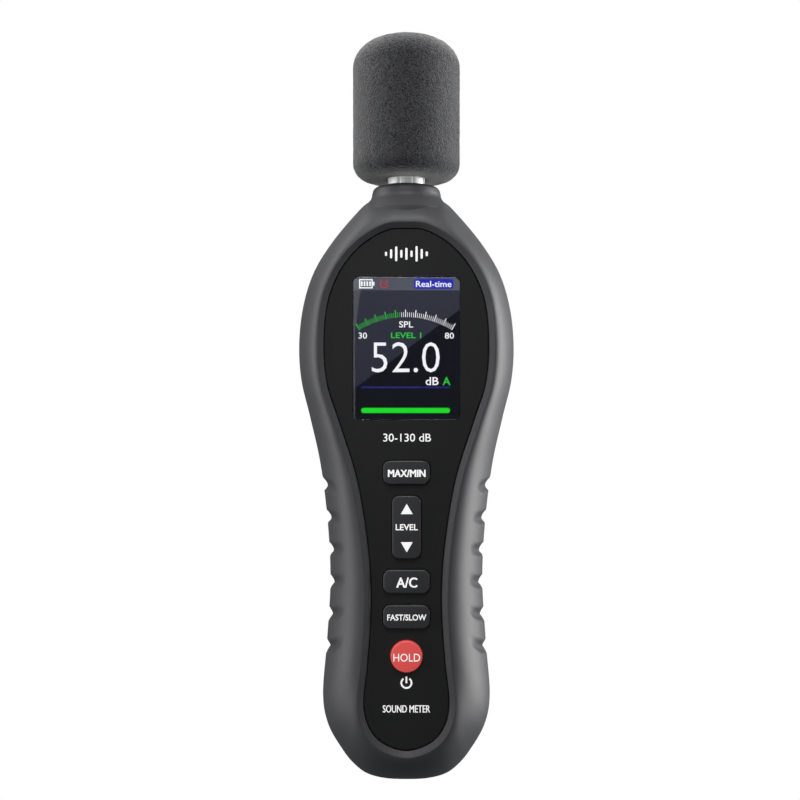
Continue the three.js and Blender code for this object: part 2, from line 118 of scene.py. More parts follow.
def softbox(name, azimuth, distance, height, aim, width, tall, watts):
    """An area lamp; azimuth 0 is at the camera's side and 90 at the display's right."""
    lamp = bpy.data.objects.new(name, bpy.data.lights.new(name, "AREA"))
    lamp.data.shape = "RECTANGLE"
    lamp.data.size = width
    lamp.data.size_y = tall
    lamp.data.energy = watts
    turn = math.radians(azimuth)
    lamp.location = (distance * math.sin(turn), -distance * math.cos(turn), height)
    towards = Vector((0, 0, aim)) - lamp.location
    lamp.rotation_euler = towards.to_track_quat("-Z", "Y").to_euler()
    lamp.visible_camera = False
    bpy.context.scene.collection.objects.link(lamp)


softbox("softbox_right", 99, 0.55, 0.12, 0.12, 0.36, 0.6, 5.8)
softbox("softbox_left", -86, 0.55, 0.12, 0.12, 0.3, 0.6, 2.2)
softbox("softbox_left_front", -30, 0.55, 0.12, 0.12, 0.2, 0.6, 0.5)
softbox("softbox_top", 0, 0.35, 0.6, 0.15, 0.3, 0.3, 2.0)
softbox("softbox_top_back", 180, 0.3, 0.6, 0.15, 0.3, 0.3, 2.3)
softbox("softbox_top_left", -90, 0.35, 0.5, 0.15, 0.3, 0.3, 1.0)
softbox("softbox_top_right", 90, 0.35, 0.5, 0.15, 0.3, 0.3, 0.5)

# ---- front half of the case ----
# Charcoal ABS moulding with a fine spark-eroded grain: a bowl-shaped shell that bulges from the widest
# edge to a thin raised rim, with a recess for the face plate, a collar on top and pressed grip notches.

ROUND = 640                       # points round each outline
RIM_WIDTH = 1.9 * mm
WALL = 2 * mm
HALF_DEPTH = 16 * mm
SEAM = 0.15 * mm                  # half of the gap between the two halves
LIP = 1.1 * mm                    # the front half's tongue lies this far inside the outer face
LIP_REACH = 1 * mm                # and reaches this far into the back half

plate_low, plate_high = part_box("face_plate")


def ring_of(half_outline):
    """Evenly spaced points round an outline, from its right-hand half in millimetres, base first."""
    knots = [Vector(point) * mm for point in half_outline]
    knots += [Vector((-knot.x, knot.y)) for knot in knots[-2:0:-1]]
    line = []
    for i, knot in enumerate(knots):
        before = knots[i - 1]
        after = knots[(i + 1) % len(knots)]
        later = knots[(i + 2) % len(knots)]
        out_handle = knot + (after - before) / 6
        in_handle = after - (later - knot) / 6
        line += interpolate_bezier(knot, out_handle, in_handle, after, 33)[:-1]
    line = numpy.array([point[:2] for point in line + line[:1]])
    steps = numpy.linalg.norm(numpy.diff(line, axis=0), axis=1)
    travelled = numpy.concatenate([[0], numpy.cumsum(steps)])
    stations = numpy.linspace(0, travelled[-1], ROUND, endpoint=False)
    return numpy.column_stack([numpy.interp(stations, travelled, line[:, i]) for i in (0, 1)])


def grown(ring, distance):
    """The ring moved outwards along its own normals."""
    along = numpy.roll(ring, -1, axis=0) - numpy.roll(ring, 1, axis=0)
    along /= numpy.linalg.norm(along, axis=1, keepdims=True)
    return ring + distance * numpy.column_stack([along[:, 1], -along[:, 0]])


edge_ring = ring_of([
    (0, 0), (6.2, 0.2), (11.6, 1.5), (15.4, 4.2), (18.8, 8.2), (23.2, 15.8), (24.8, 25), (23.6, 41),
    (22.6, 59), (23.4, 76), (25.5, 93), (28.5, 106.7), (31.2, 118), (31.9, 128.5), (30.8, 139.5),
    (27.7, 149.8), (22.2, 158.9), (14.8, 167.8), (11, 171.2), (6, 173), (0, 173.4),
])
plate_ring = ring_of([
    (0, 12.7), (6.6, 14.8), (10.5, 19.3), (12, 26.2), (10.8, 38), (9.8, 55), (10.8, 71.5),
    (13.9, 90), (18.9, 106), (22.4, 117), (23.3, 128.5), (22.2, 140.2), (18.5, 149.3),
    (12.8, 156.1), (5.8, 160.3), (0, 160.9),
])

NOTCH_COUNT = 6
NOTCH_LOW = 38.8 * mm
NOTCH_PITCH = 9.66 * mm
NOTCH_DEPTH = 1.3 * mm
NOTCH_RISE = 2.2 * mm             # the long slope above a notch
NOTCH_FALL = 1.5 * mm             # the short slope below it
NOTCH_BLUNT = 0.25 * mm
NOTCH_DIP = 3 * mm                # how much lower its end on the flank would be at the rim


def notch_depth(heights):
    """How deep the grip notches are at each of these heights."""
    deepest = numpy.zeros(len(heights))
    for count in range(NOTCH_COUNT):
        above = heights - NOTCH_LOW - count * NOTCH_PITCH
        reach = numpy.where(above > 0, above / NOTCH_RISE, -above / NOTCH_FALL)
        blunt = numpy.sqrt(reach ** 2 + (NOTCH_BLUNT / NOTCH_FALL) ** 2)
        slope = numpy.clip(1.08 - blunt, 0, 1)
        deepest = numpy.maximum(deepest, NOTCH_DEPTH * slope * (1.6 - 0.6 * slope))
    return deepest


def between(share, inset):
    """A ring of the case: share 0 is the rim round the face plate, share 1 the widest edge."""
    rim = grown(plate_ring, RIM_WIDTH - inset)
    edge = grown(edge_ring, -inset)
    ring = rim + (edge - rim) * share
    fade = min(max((share - 0.5) / 0.42, 0), 1)
    depth = notch_depth(edge_ring[:, 1] + NOTCH_DIP * (1 - share)) * fade * fade * (3 - 2 * fade)
    ring[:, 0] -= numpy.sign(ring[:, 0]) * depth
    return ring


def moved(body, x, y, z):
    """Shifts a whole body."""
    bmesh.ops.translate(body, verts=body.verts, vec=(x, y, z))
    return body


def swung(body, degrees, axis):
    """Turns a whole body about an axis through the origin."""
    bmesh.ops.rotate(body, verts=body.verts, matrix=Matrix.Rotation(math.radians(degrees), 3, axis))
    return body


def skin(rings):
    """A closed body stretched over rings of equally many points, each with its own depth along Y."""
    body = bmesh.new()
    (first, depth), *others = rings
    verts = [body.verts.new((x, depth, z)) for x, z in first]
    edges = [body.edges.new(pair) for pair in zip(verts, verts[1:] + verts[:1])]
    bmesh.ops.contextual_create(body, geom=edges)
    for ring, depth in others:
        made = bmesh.ops.extrude_edge_only(body, edges=edges)["geom"]
        fresh = {item for item in made if isinstance(item, bmesh.types.BMVert)}
        verts = [next(edge.other_vert(vert) for edge in vert.link_edges if edge.other_vert(vert) in fresh)
                 for vert in verts]
        for vert, (x, z) in zip(verts, ring):
            vert.co = (x, depth, z)
        edges = [body.edges.get(pair) for pair in zip(verts, verts[1:] + verts[:1])]
    bmesh.ops.contextual_create(body, geom=edges)
    bmesh.ops.recalc_face_normals(body, faces=body.faces)
    return body


def turned(profile, sides, centre=(0, 0, 0), axis="Z"):
    """A body turned from a closed or axis-to-axis profile of (radius, height) pairs in metres."""
    body = bmesh.new()
    verts = [body.verts.new((radius, 0, height)) for radius, height in profile]
    pairs = list(zip(verts, verts[1:]))
    if profile[0][0] > 0:
        pairs.append((verts[-1], verts[0]))
    edges = [body.edges.new(pair) for pair in pairs]
    bmesh.ops.spin(body, geom=verts + edges, cent=(0, 0, 0), axis=(0, 0, 1), angle=2 * math.pi, steps=sides,
                   use_merge=True)
    bmesh.ops.remove_doubles(body, verts=body.verts, dist=0.001 * mm)
    if axis == "Y":
        swung(body, -90, "X")
    moved(body, *centre)
    bmesh.ops.recalc_face_normals(body, faces=body.faces)
    return body


def in_mm(points):
    """Points of a profile that are given in millimetres."""
    return [(radius * mm, height * mm) for radius, height in points]


def rounded(middle, across, rise, start, stop, step):
    """Points of a profile on an arc round its middle, from start to stop in degrees, 90 at its top."""
    turns = [math.radians(degrees) for degrees in range(start, stop, step)]
    return [(middle[0] + across * math.cos(turn), middle[1] + rise * math.sin(turn)) for turn in turns]


def rod(radius, y0, y1, x, z, sides=32):
    """A plain peg or bore along Y."""
    body = bmesh.new()
    bmesh.ops.create_cone(body, cap_ends=True, segments=sides, radius1=radius, radius2=radius,
                          depth=y1 - y0)
    return moved(swung(body, 90, "X"), x, (y0 + y1) / 2, z)


def rods(places, radius, y0, y1, sides=32):
    """Pegs or bores at several places, in millimetres."""
    return [rod(radius * mm, y0 * mm, y1 * mm, place.x, place.z, sides) for place in places]


def prism(width, height, radius, x, z, y0, y1, corner=8):
    """A slab with round corners, from y0 at its front to y1 at its back."""
    body = bmesh.new()
    bmesh.ops.create_grid(body, x_segments=1, y_segments=1, size=0.5)
    bmesh.ops.scale(body, verts=body.verts, vec=(width, height, 1))
    moved(swung(body, 90, "X"), x, y0, z)
    bmesh.ops.bevel(body, geom=body.verts[:], affect="VERTICES", offset=radius, offset_type="OFFSET",
                    segments=corner, profile=0.5, material=-1)
    deeper = bmesh.ops.extrude_face_region(body, geom=body.faces[:])["geom"]
    back = [item for item in deeper if isinstance(item, bmesh.types.BMVert)]
    bmesh.ops.translate(body, verts=back, vec=(0, y1 - y0, 0))
    bmesh.ops.recalc_face_normals(body, faces=body.faces)
    return body


def box_between(low, high):
    """A plain block, for cutting and joining."""
    body = bmesh.new()
    bmesh.ops.create_cube(body, size=1)
    size = Vector(high) - Vector(low)
    bmesh.ops.scale(body, verts=body.verts, vec=size)
    return moved(body, *(Vector(high) + Vector(low)) / 2)


def as_object(name, body):
    """Turns a bmesh into a linked object and frees it."""
    mesh = bpy.data.meshes.new(name)
    body.to_mesh(mesh)
    body.free()
    made = bpy.data.objects.new(name, mesh)
    bpy.context.scene.collection.objects.link(made)
    return made


def add_body(whole, body):
    """Moves a body's mesh into another one."""
    part = bpy.data.meshes.new("part")
    body.to_mesh(part)
    body.free()
    whole.from_mesh(part)
    bpy.data.meshes.remove(part)


def joined(bodies):
    """Several bodies that stay clear of each other, as one."""
    whole = bmesh.new()
    for body in bodies:
        add_body(whole, body)
    return whole


def combine(body, operation, *tools):
    """Joins bodies to a body, cuts them from it or keeps what they share: UNION, DIFFERENCE, INTERSECT."""
    piece = as_object("piece", body)
    tool = as_object("tool", joined(tools))
    step = piece.modifiers.new("step", "BOOLEAN")
    step.operation = operation
    step.object = tool
    step.solver = "EXACT"
    shaped = bpy.data.meshes.new_from_object(piece.evaluated_get(bpy.context.evaluated_depsgraph_get()))
    result = bmesh.new()
    result.from_mesh(shaped)
    bmesh.ops.holes_fill(result, edges=[edge for edge in result.edges if edge.is_boundary], sides=4)
    for part in (piece, tool):
        mesh = part.data
        bpy.data.objects.remove(part)
        bpy.data.meshes.remove(mesh)
    bpy.data.meshes.remove(shaped)
    return result


def mesh_of_curve(curve):
    """Turns lettering or a wire into a mesh and removes the curve."""
    drawn = bpy.data.objects.new("drawn", curve)
    bpy.context.scene.collection.objects.link(drawn)
    bpy.context.view_layer.update()
    shape = bpy.data.meshes.new_from_object(drawn.evaluated_get(bpy.context.evaluated_depsgraph_get()))
    bpy.data.objects.remove(drawn)
    bpy.data.curves.remove(curve)
    return shape


def cut(body, *tools):
    """A body with holes where the tools are."""
    return combine(body, "DIFFERENCE", *tools)


def make_piece(name, body, finish, rides_on, slot, *stands_for, sharp=35):
    """Names a finished body, gives it its finish and its place in the frame."""
    made = as_object(name, body)
    made.data.materials.clear()
    made.data.materials.append(finish)
    made.data.shade_smooth()
    made.data.set_sharp_from_angle(angle=math.radians(sharp))
    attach(made, rides_on)
    if stands_for:
        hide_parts(*stands_for)
    return made


def steady_shading(made):
    """Keeps flat faces flat in the shading where they meet round ones."""
    weighted = made.modifiers.new("weighted", "WEIGHTED_NORMAL")
    weighted.keep_sharp = True


class Shade:
    """A socket of a material, so that shader maths is written as Python arithmetic."""

    def __init__(self, tree, socket=None):
        self.tree = tree
        self.socket = socket

    def node(self, kind, settings, sockets, output=0):
        made = self.tree.nodes.new("ShaderNode" + kind)
        for name, value in settings.items():
            if name == "stops":
                for stop, (position, colour) in zip(made.color_ramp.elements, value):
                    stop.position = position
                    stop.color = colour
            else:
                setattr(made, name, value)
        for name, value in sockets.items():
            if isinstance(value, Shade):
                self.tree.links.new(value.socket, made.inputs[name])
            else:
                made.inputs[name].default_value = value
        return Shade(self.tree, made.outputs[output])

    def maths(self, operation, first, second):
        return self.node("Math", {"operation": operation}, {0: first, 1: second})

    def __add__(self, other):
        return self.maths("ADD", self, other)

    def __sub__(self, other):
        return self.maths("SUBTRACT", self, other)

    def __rsub__(self, other):
        return self.maths("SUBTRACT", other, self)

    def __mul__(self, other):
        return self.maths("MULTIPLY", self, other)

    def __gt__(self, other):
        return self.maths("GREATER_THAN", self, other)

    __radd__ = __add__
    __rmul__ = __mul__

    def blend(self, low, high):
        """The colour between two colours, with this socket as the share of the second."""
        return self.node("Mix", {"data_type": "RGBA"}, {0: self, 6: low, 7: high}, 2)

    def tint(self, low, high):
        """The same between two display colours, 0 to 255."""
        return self.blend(colour_of(*low), colour_of(*high))

    def speckle(self, scale, detail=2, roughness=0.5):
        """Noise from 0 to 1 on these coordinates; scale counts its cells in a metre."""
        return self.node("TexNoise", {}, {"Vector": self, "Scale": scale, "Detail": detail,
                                          "Roughness": roughness})

    def axis(self, name):
        """One of these coordinates, by its letter."""
        return self.node("SeparateXYZ", {}, {"Vector": self}, name)

    def feed(self, shader, name):
        self.tree.links.new(self.socket, shader.inputs[name])

    def emboss(self, shader, depth, strength=1):
        """Raises the surface by this height map, by depth metres at most."""
        bump = self.node("Bump", {}, {"Height": self, "Distance": depth, "Strength": strength})
        bump.feed(shader, "Normal")


def colour_of(red, green, blue):
    """A display colour, 0 to 255, as the linear colour with alpha that a socket takes."""
    linear = Color((red / 255, green / 255, blue / 255)).from_srgb_to_scene_linear()
    return (*linear, 1)


def shade_of(colour, factor):
    """A linear colour made lighter or darker."""
    return (*(min(channel * factor, 1) for channel in colour[:3]), 1)


def new_finish(name, **constants):
    """A new material: gives it, its shader and the piece's own coordinates in metres."""
    finish = bpy.data.materials.new(name)
    finish.use_nodes = True
    shader = finish.node_tree.nodes["Principled BSDF"]
    for socket, value in constants.items():
        shader.inputs[socket.replace("_", " ")].default_value = value
    place = Shade(finish.node_tree).node("TexCoord", {}, {}, "Object")
    return finish, shader, place


def moulded(name, colour, roughness, grain=3500, depth=0.006 * mm, variation=0.08, shine=0.5, painted_glow=0):
    """Moulded plastic: fine etched grain, with slow drifts in its colour and in its polish; painted_glow
    makes it glow in its own colour, a painted light.
    """
    colour = colour_of(*colour)
    finish, shader, place = new_finish(name, Specular_IOR_Level=shine, Emission_Color=colour,
                                       Emission_Strength=painted_glow)
    etched = place.speckle(grain, 3, 0.6)
    drift = place.speckle(60, 2)
    mottled = etched * 0.5 + drift * 0.5
    mottled.blend(shade_of(colour, 1 - variation), shade_of(colour, 1 + variation)).feed(
        shader, "Base Color")
    (roughness - 0.06 + etched * 0.08 + drift * 0.04).feed(shader, "Roughness")
    etched.emboss(shader, depth)
    return finish


casing_plastic = moulded("casing_plastic", (60, 60, 62), 0.5)

RECESS = plate_high.y + 0.3 * mm  # the wall that the face plate is glued to
FLOOR_BACK = RECESS + 1.8 * mm

BULGE = 1.6                       # 2 would be an ellipse; less keeps the flank straighter


def bulge(degrees):
    """The flank of the front half: how far out it is, and how much of the depth is left there."""
    turn = math.radians(degrees)
    return math.sin(turn) ** (2 / BULGE), math.cos(turn) ** (2 / BULGE)


front_rings = [(grown(plate_ring, 0.3 * mm), RECESS)]
for outwards, forwards in [(0.3, 0.12), (0.36, 0.3), (0.55, 0.44), (1.6, 1.03), (1.8, 1.14)]:
    front_rings.append((grown(plate_ring, outwards * mm), plate_low.y - forwards * mm))
for degrees in [0.5, 2, *range(4, 85, 4)]:
    share, reach = bulge(degrees)
    front_rings.append((between(share, 0), -HALF_DEPTH * reach))
front_rings += [
    (between(1, 0), -3 * SEAM),
    (between(1, 0.06 * mm), -2 * SEAM),
    (between(1, 0.25 * mm), -SEAM),
    (between(1, LIP), -SEAM),
    (between(1, LIP), LIP_REACH),
    (between(1, WALL), LIP_REACH),
]
for degrees in range(80, 35, -9):
    share, reach = bulge(degrees)
    front_rings.append((between(share, WALL), -(HALF_DEPTH - WALL) * reach))
front_rings.append((grown(plate_ring, 1.5 * mm), FLOOR_BACK))

COLLAR_RADIUS = 10.43 * mm
COLLAR_TOP = 175.4 * mm
COLLAR_BORE = 8.2 * mm
COLLAR_FOOT = 3.2 * mm            # radius of the hollow where it meets the shoulders
COLLAR_WAIST = 173.3 * mm         # height at which that hollow ends
COLLAR_ROUND = 1.8 * mm           # radius of its top edge


def collar(keep_low, keep_high):
    """The round collar under the windscreen, with a soft foot, cut to one half of the case."""
    profile = in_mm([(0, 163), (14, 163), (14, 168)])
    profile += rounded((COLLAR_RADIUS - 0.2 * mm + COLLAR_FOOT, COLLAR_WAIST), -COLLAR_FOOT, -COLLAR_FOOT,
                       44, -1, -4)
    profile += rounded((COLLAR_RADIUS - 0.35 * mm - COLLAR_ROUND, COLLAR_TOP - COLLAR_ROUND), COLLAR_ROUND,
                       COLLAR_ROUND, 0, 91, 10)
    profile.append((0, COLLAR_TOP))
    return combine(turned(profile, 128), "INTERSECT", box_between(keep_low, keep_high))


def mic_passage():
    """The bore of the collar and the wider seat below it."""
    past = COLLAR_TOP + 1 * mm
    return turned(in_mm([(0, 160), (9.3, 160), (9.3, 169.8)]) + [
        (COLLAR_BORE, 170.7 * mm), (COLLAR_BORE, past), (0, past)], 96)


front_shell = combine(skin(front_rings), "UNION",
                      collar((-0.04, -0.02, 0.16), (0.04, -SEAM, 0.19)))
screw_places = [sum(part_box(f"housing_screw_{i}"), Vector()) / 2 for i in range(1, 5)]
stud_places = [sum(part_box(f"board_screw_{i}"), Vector()) / 2 for i in range(1, 5)]
board_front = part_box("main_board")[0].y
window_low, window_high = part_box("display_window")
screen_x = (window_low.x + window_high.x) / 2
screen_z = (window_low.z + window_high.z) / 2
BOSS_RADIUS = 3.2 * mm
HIGH_BOSS = -12.5 * mm            # where the bosses beside the display start, deep in the shell
LOW_BOSS = -10.4 * mm             # and where those in the narrow foot start
BOSS_BACK = -0.3 * mm
front_bosses = [rod(BOSS_RADIUS, HIGH_BOSS if place.z > 100 * mm else LOW_BOSS, BOSS_BACK, place.x, place.z)
                for place in screw_places]
front_bosses += [rod(2.4 * mm, -12 * mm, board_front - 0.3 * mm, place.x, place.z)
                 for place in stud_places]
front_shell = combine(front_shell, "UNION", *front_bosses)
screen_width = window_high.x - window_low.x
screen_height = window_high.z - window_low.z
SCREEN_CORNER = 1.3 * mm
FLANGE = 1 * mm                   # a key's flange is this much wider than its hole on each side
FLANGE_TALL = 0.6 * mm            # and this much taller
KEY_CORNERS = {"key_max_min": 2.3 * mm, "key_level": 2.2 * mm, "key_weighting": 2.3 * mm,
               "key_response": 2.3 * mm}
front_cuts = [prism(screen_width - 0.4 * mm, screen_height - 0.4 * mm, SCREEN_CORNER, screen_x, screen_z,
                    -20 * mm, -10 * mm)]


def key_hole(name, play, y0, y1):
    """The opening for a key, from its node's box; play is what is added all round."""
    low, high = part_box(name)
    middle = (low + high) / 2
    width = high.x - low.x - 2 * FLANGE + 2 * play
    height = high.z - low.z - 2 * FLANGE_TALL + 2 * play
    if name not in KEY_CORNERS:
        return rod(width / 2, y0, y1, middle.x, middle.z, 64)
    return prism(width, height, KEY_CORNERS[name] + play, middle.x, middle.z, y0, y1)


key_names = [*KEY_CORNERS, "key_hold"]
front_cuts += [key_hole(name, 0, -20 * mm, -10 * mm) for name in key_names]
front_cuts += rods(screw_places, 1.35, -9, 1) + rods(stud_places, 1.05, -10, 1)
front_cuts.append(mic_passage())
front_shell = cut(front_shell, *front_cuts)
front_case = make_piece("front_case", front_shell, casing_plastic, "case", "casing", "front_housing")
steady_shading(front_case)

# ---- back half of the case ----
# The same ABS, moulded as one shell with the open bay for the three cells, bosses for the case screws
# and the seat of the tripod insert. Its back is flat, so that the meter can lie on a table.

BACK_FLAT = 0.35
outer_back = []
for degrees in [*range(88, 3, -4), 1]:
    turn = math.radians(degrees)
    share = BACK_FLAT + (1 - BACK_FLAT) * math.sin(turn)
    outer_back.append((between(share, 0), HALF_DEPTH * math.cos(turn)))
outer_back.append((grown(between(BACK_FLAT, 0), -0.6 * mm), HALF_DEPTH))
seam_back = [
    (between(1, 0.25 * mm), SEAM),
    (between(1, 0.06 * mm), 2 * SEAM),
    (between(1, 0), 3 * SEAM),
]
inner_back = []
for degrees in [0, *range(10, 81, 10)]:
    turn = math.radians(degrees)
    share = BACK_FLAT + (1 - BACK_FLAT) * math.sin(turn)
    inner_back.append((between(share, WALL), (HALF_DEPTH - WALL) * math.cos(turn)))
inner_back += [
    (between(1, WALL), LIP_REACH + 2 * SEAM),
    (between(1, LIP - SEAM), LIP_REACH + 2 * SEAM),
    (between(1, LIP - SEAM), SEAM),
]

back_shell = skin(inner_back + seam_back + outer_back)
back_shell = combine(back_shell, "UNION", collar((-0.04, SEAM, 0.16), (0.04, 0.02, 0.19)))

door_low, door_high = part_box("battery_door")
cell_boxes = [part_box(f"battery_cell_{i}") for i in range(1, 4)]
BAY_HALF = 16.8 * mm
BAY_LOW = 22.5 * mm
BAY_HIGH = 72.5 * mm
BAY_FLOOR = 2.9 * mm
BAY_WALL = 1.5 * mm
DOOR_THICK = 1.8 * mm
DOOR_PLAY = 0.25 * mm
insert_low, insert_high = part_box("tripod_insert")
tripod = (insert_low + insert_high) / 2
back_adds = [box_between((-BAY_HALF - BAY_WALL, BAY_FLOOR - BAY_WALL, BAY_LOW - BAY_WALL),
                         (BAY_HALF + BAY_WALL, HALF_DEPTH - 1.2 * mm, BAY_HIGH + BAY_WALL))]
back_adds += [rod(4.4 * mm, 0.3 * mm, HALF_DEPTH - 1.2 * mm, place.x, place.z) for place in screw_places]
back_adds.append(rod(7 * mm, 6.5 * mm, HALF_DEPTH - 0.5 * mm, tripod.x, tripod.z, 64))
back_shell = combine(back_shell, "UNION", *back_adds)
back_shell = cut(back_shell, box_between((-BAY_HALF, BAY_FLOOR, BAY_LOW), (BAY_HALF, 20 * mm, BAY_HIGH)))
DOOR_LOW = door_low.z + 2.5 * mm  # the two tongues reach this far below the door itself
door_middle = (DOOR_LOW + door_high.z) / 2
door_width = door_high.x - door_low.x
door_height = door_high.z - DOOR_LOW
DOOR_CORNER = 2 * mm
back_shell = cut(back_shell, prism(door_width + 2 * DOOR_PLAY, door_height + 2 * DOOR_PLAY,
                                   DOOR_CORNER + DOOR_PLAY, 0, door_middle,
                                   HALF_DEPTH - DOOR_THICK - 0.3 * mm, 20 * mm))
TONGUE_X = 5 * mm
TONGUE_HALF = 2.5 * mm
TONGUE_SLOT = TONGUE_HALF + 0.3 * mm
back_shell = cut(back_shell, *[
    box_between((side * TONGUE_X - TONGUE_SLOT, 11.2 * mm, door_low.z - 0.4 * mm),
                (side * TONGUE_X + TONGUE_SLOT, 14.1 * mm, 24.3 * mm)) for side in (-1, 1)])
bores = rods(screw_places, 1.9, -1, 20)
bores.append(rod(4.7 * mm, 7.7 * mm, 20 * mm, tripod.x, tripod.z, 64))
bores.append(mic_passage())
back_shell = cut(back_shell, *bores)
back_shell = cut(back_shell, *rods(screw_places, 3.2, 9.6, 20, 48))
back_case = make_piece("back_case", back_shell, casing_plastic, "case", "casing", "rear_housing")
steady_shading(back_case)

# ---- battery door ----
# A lid of the same ABS that follows the curve of the back. Two tongues at its foot hook under the case
# and it has a ribbed patch for the thumb at its top.

lid = skin([(ring, depth) for ring, depth in outer_back if depth > 12 * mm])
lid = combine(lid, "INTERSECT", prism(door_width, door_height, DOOR_CORNER, 0, door_middle,
                                      HALF_DEPTH - DOOR_THICK, 20 * mm))
TONGUE_TOP = 23 * mm
for y0, y1, z in [(12.4 * mm, 13.8 * mm, 18.3 * mm), (13 * mm, 15 * mm, DOOR_LOW + 0.1 * mm)]:
    lid = combine(lid, "UNION", *[box_between((side * TONGUE_X - TONGUE_HALF, y0, z),
                                              (side * TONGUE_X + TONGUE_HALF, y1, TONGUE_TOP))
                                  for side in (-1, 1)])
grooves = []
for count in range(5):
    z = 66.4 * mm + count * 1.6 * mm
    grooves.append(turned(in_mm([(0, -6), (0.45, -5.6), (0.45, 5.6), (0, 6)]), 24))
    moved(swung(grooves[-1], 90, "Y"), 0, HALF_DEPTH, z)
lid = cut(lid, *grooves)
door = make_piece("door_lid", lid, casing_plastic, "battery_door", "casing", "battery_door")
steady_shading(door)

# ---- case screws ----
# Four zinc-plated self-tapping screws from the back, sunk in counterbores, with a cross recess.



def bare_metal(name, grain, detail, dull, bright, polish, spread):
    """Worked metal: its colour and its polish vary with one fine grain."""
    finish, shader, place = new_finish(name, Metallic=1)
    worked = place.speckle(grain, detail)
    worked.tint(dull, bright).feed(shader, "Base Color")
    (polish + worked * spread).feed(shader, "Roughness")
    worked.emboss(shader, 0.004 * mm)
    return finish


screw_steel = bare_metal("screw_steel", 2500, 3, (150, 150, 148), (196, 196, 192), 0.26, 0.16)

for count, where in enumerate(screw_places, 1):
    profile = [(0, -7), (0.6, -7), (1.35, -5.8)]
    for ridge in range(11):
        profile += [(1.35, -5.6 + ridge), (1.6, -5.3 + ridge), (1.35, -5 + ridge)]
    profile += [(1.5, 9.3), (2.8, 9.3), (2.8, 10.2), (2.6, 10.7), (2, 11.15), (1.1, 11.35), (0, 11.4)]
    shank = turned(in_mm(profile), 40, (where.x, 0, where.z), "Y")
    for x, z in [(1.5 * mm, 0.25 * mm), (0.25 * mm, 1.5 * mm)]:
        shank = cut(shank, box_between((where.x - x, 10.3 * mm, where.z - z),
                                       (where.x + x, 12 * mm, where.z + z)))
    make_piece(f"case_screw_{count}", shank, screw_steel, "case", "steel", f"housing_screw_{count}")

# ---- tripod insert ----
# A brass bush pressed into its seat in the back, with the thread that a tripod screw goes into.

brass = bare_metal("brass", 900, 4, (150, 112, 58), (206, 170, 102), 0.24, 0.2)

insert_radius = (insert_high.x - insert_low.x) / 2
profile = [(0, insert_low.y), (insert_radius, insert_low.y), (insert_radius, insert_high.y - 0.3 * mm),
           (insert_radius - 0.3 * mm, insert_high.y), (3.5 * mm, insert_high.y)]
THREAD_PITCH = 1.27 * mm
for count in range(5):
    crest = insert_high.y - 0.4 * mm - count * THREAD_PITCH
    profile += [(3.15 * mm, crest), (2.6 * mm, crest - 0.45 * THREAD_PITCH),
                (2.6 * mm, crest - 0.55 * THREAD_PITCH)]
profile += [(3.15 * mm, 9.2 * mm), (0, 9.2 * mm)]
bush = turned(profile, 72, (tripod.x, 0, tripod.z), "Y")
make_piece("tripod_bush", bush, brass, "case", "brass", "tripod_insert")

# ---- face plate ----
# A thin near-black moulding glued into the recess, with the window and the keys let into it. The
# markings on it are silk-screened in white.

PRINT = 0.03 * mm                 # thickness of a printed marking

plate_plastic = moulded("plate_plastic", (31, 31, 32), 0.5, 3000, 0.005 * mm, 0.12, 0.3)

plate = skin([
    (grown(plate_ring, -0.22 * mm), plate_low.y),
    (grown(plate_ring, -0.06 * mm), plate_low.y + 0.05 * mm),
    (plate_ring, plate_low.y + 0.2 * mm),
    (plate_ring, plate_high.y),
])
plate_cuts = [prism(screen_width + 0.3 * mm, screen_height + 0.3 * mm, SCREEN_CORNER + 0.15 * mm, screen_x,
                    screen_z, -20 * mm, -10 * mm)]
plate_cuts += [key_hole(name, 0, -20 * mm, -10 * mm) for name in key_names]
plate = cut(plate, *plate_cuts)
face = make_piece("face_sheet", plate, plate_plastic, "case", "face_plate", "face_plate")
steady_shading(face)


def write(markings, text, width, height, x, y, z, weight=0, double=0):
    """Adds flat lettering that faces the front, fitted to its width and height round its middle.

    A double strike prints it once more, that far to the right, which makes it bold.
    """
    curve = bpy.data.curves.new("lettering", "FONT")
    curve.body = text
    curve.extrude = 0.01
    curve.offset = weight
    curve.resolution_u = 3
    shape = mesh_of_curve(curve)
    corners = numpy.array([vert.co for vert in shape.vertices])
    low, high = corners.min(axis=0), corners.max(axis=0)
    fitted = Matrix.Diagonal((width / (high[0] - low[0]), height / (high[1] - low[1]),
                              PRINT / (high[2] - low[2]), 1))
    centred = Matrix.Translation(-Vector((low + high) / 2))
    upright = Matrix.Rotation(math.radians(90), 4, "X")
    shape.transform(Matrix.Translation((x - double / 2, y, z)) @ upright @ fitted @ centred)
    markings.from_mesh(shape)
    if double:
        shape.transform(Matrix.Translation((double, -0.2 * PRINT, 0)))
        markings.from_mesh(shape)
    bmesh.ops.remove_doubles(markings, verts=markings.verts, dist=0.0005 * mm)
    bpy.data.meshes.remove(shape)


def arc_stroke(markings, radius, stroke, start, end, x, y, z, steps=40):
    """Adds a printed arc; angles in degrees, 0 at the right and 90 at the top."""
    inner = radius - stroke / 2
    outer = radius + stroke / 2
    half = PRINT / 2
    corners = [(inner, -half), (outer, -half), (outer, half), (inner, half)]
    arc = bmesh.new()
    turn = math.radians(start)
    verts = [arc.verts.new((reach * math.cos(turn), depth, reach * math.sin(turn)))
             for reach, depth in corners]
    face = arc.faces.new(verts)
    whole = abs(end - start) >= 360
    bmesh.ops.spin(arc, geom=[face], cent=(0, 0, 0), axis=(0, -1, 0), angle=math.radians(end - start),
                   steps=steps, use_merge=whole)
    if whole:
        bmesh.ops.remove_doubles(arc, verts=arc.verts, dist=0.0005 * mm)
    moved(arc, x, y, z)
    bmesh.ops.recalc_face_normals(arc, faces=arc.faces)
    add_body(markings, arc)


